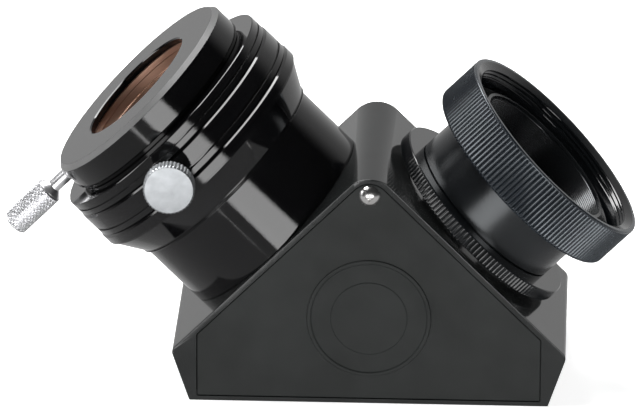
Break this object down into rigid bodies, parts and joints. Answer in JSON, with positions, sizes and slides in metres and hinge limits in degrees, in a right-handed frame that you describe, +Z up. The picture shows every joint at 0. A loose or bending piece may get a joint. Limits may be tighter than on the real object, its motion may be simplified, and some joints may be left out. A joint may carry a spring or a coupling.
{
  "type": "star diagonal",
  "caption": "Right-angle mirror star diagonal: wedge housing, 2-inch clamp holder with a 1.25-inch eyepiece adapter, and a free-turning threaded telescope coupling ring.",
  "frame": {"origin": "centre of the flat face it rests on, below the middle of the mirror", "axes": "+Z up, +X towards the telescope port, -Y towards the cover"},
  "size_m": [0.1571, 0.0775, 0.0911],
  "materials": {
    "housing_paint": "satin black paint with a fine texture on a die casting",
    "cover_paint": "matte black paint",
    "plate_paint": "matte black paint",
    "gloss_black": "polished and black anodised, turned",
    "satin_black": "black anodised, turned, satin",
    "black_steel": "blackened steel",
    "spring_steel": "bright spring steel",
    "chrome": "bright chrome plate",
    "brass": "turned brass, reddish",
    "mirror_glass": "front-silvered flat",
    "pad_rubber": "soft black rubber"
  },
  "bodies": {
    "diagonal": {"housing": "housing_paint", "front_cover": "cover_paint", "cover_screw": "chrome", "mirror_plate": "plate_paint", "plate_screws": "black_steel", "mirror": "mirror_glass", "mirror_pads": "pad_rubber", "mirror_clips": "spring_steel", "clip_screws": "spring_steel", "holder_barrel": "gloss_black", "barrel_grub_screw": "black_steel", "eyepiece_holder": "gloss_black", "telescope_neck": "satin_black", "coupling_snap_ring": "spring_steel"},
    "coupling": {"coupling_ring": "satin_black"},
    "lock_ring": {"neck_lock_ring": "satin_black"},
    "holder_clamp": {"clamp_ring_2in": "brass"},
    "holder_screw": {"thumbscrew_2in": "chrome"},
    "adapter": {"adapter_body": "gloss_black"},
    "adapter_clamp": {"clamp_ring_125": "brass"},
    "adapter_screw": {"thumbscrew_125": "chrome"}
  },
  "joints": [
    {"name": "coupling_ring_spin", "type": "hinge", "parent": "diagonal", "child": "coupling", "pos_m": [0.04094, 0, 0.05414], "axis": [0.7071, 0, 0.7071], "continuous": true},
    {"name": "lock_ring_turn", "type": "hinge", "parent": "diagonal", "child": "lock_ring", "pos_m": [0.02684, 0, 0.04004], "axis": [0.7071, 0, 0.7071], "range_deg": [0, 90]},
    {"name": "holder_clamp_push", "type": "slide", "parent": "diagonal", "child": "holder_clamp", "axis": [0, 1, 0], "range_m": [0, 0.000525]},
    {"name": "holder_screw_turn", "type": "hinge", "parent": "holder_clamp", "child": "holder_screw", "pos_m": [-0.04829, -0.04, 0.0615], "axis": [0, 1, 0], "range_deg": [0, 270]},
    {"name": "adapter_slide", "type": "slide", "parent": "diagonal", "child": "adapter", "axis": [-0.7071, 0, 0.7071], "range_m": [0, 0.028]},
    {"name": "adapter_clamp_push", "type": "slide", "parent": "adapter", "child": "adapter_clamp", "axis": [0.7071, 0, 0.7071], "range_m": [0, 0.000525]},
    {"name": "adapter_screw_turn", "type": "hinge", "parent": "adapter_clamp", "child": "adapter_screw", "pos_m": [-0.08061, 0, 0.04431], "axis": [0.7071, 0, 0.7071], "range_deg": [0, 270]}
  ],
  "couplings": [
    {"joint": "holder_screw_turn", "follows": "holder_clamp_push", "rad_per_m": 8976},
    {"joint": "adapter_screw_turn", "follows": "adapter_clamp_push", "rad_per_m": 8976}
  ]
}
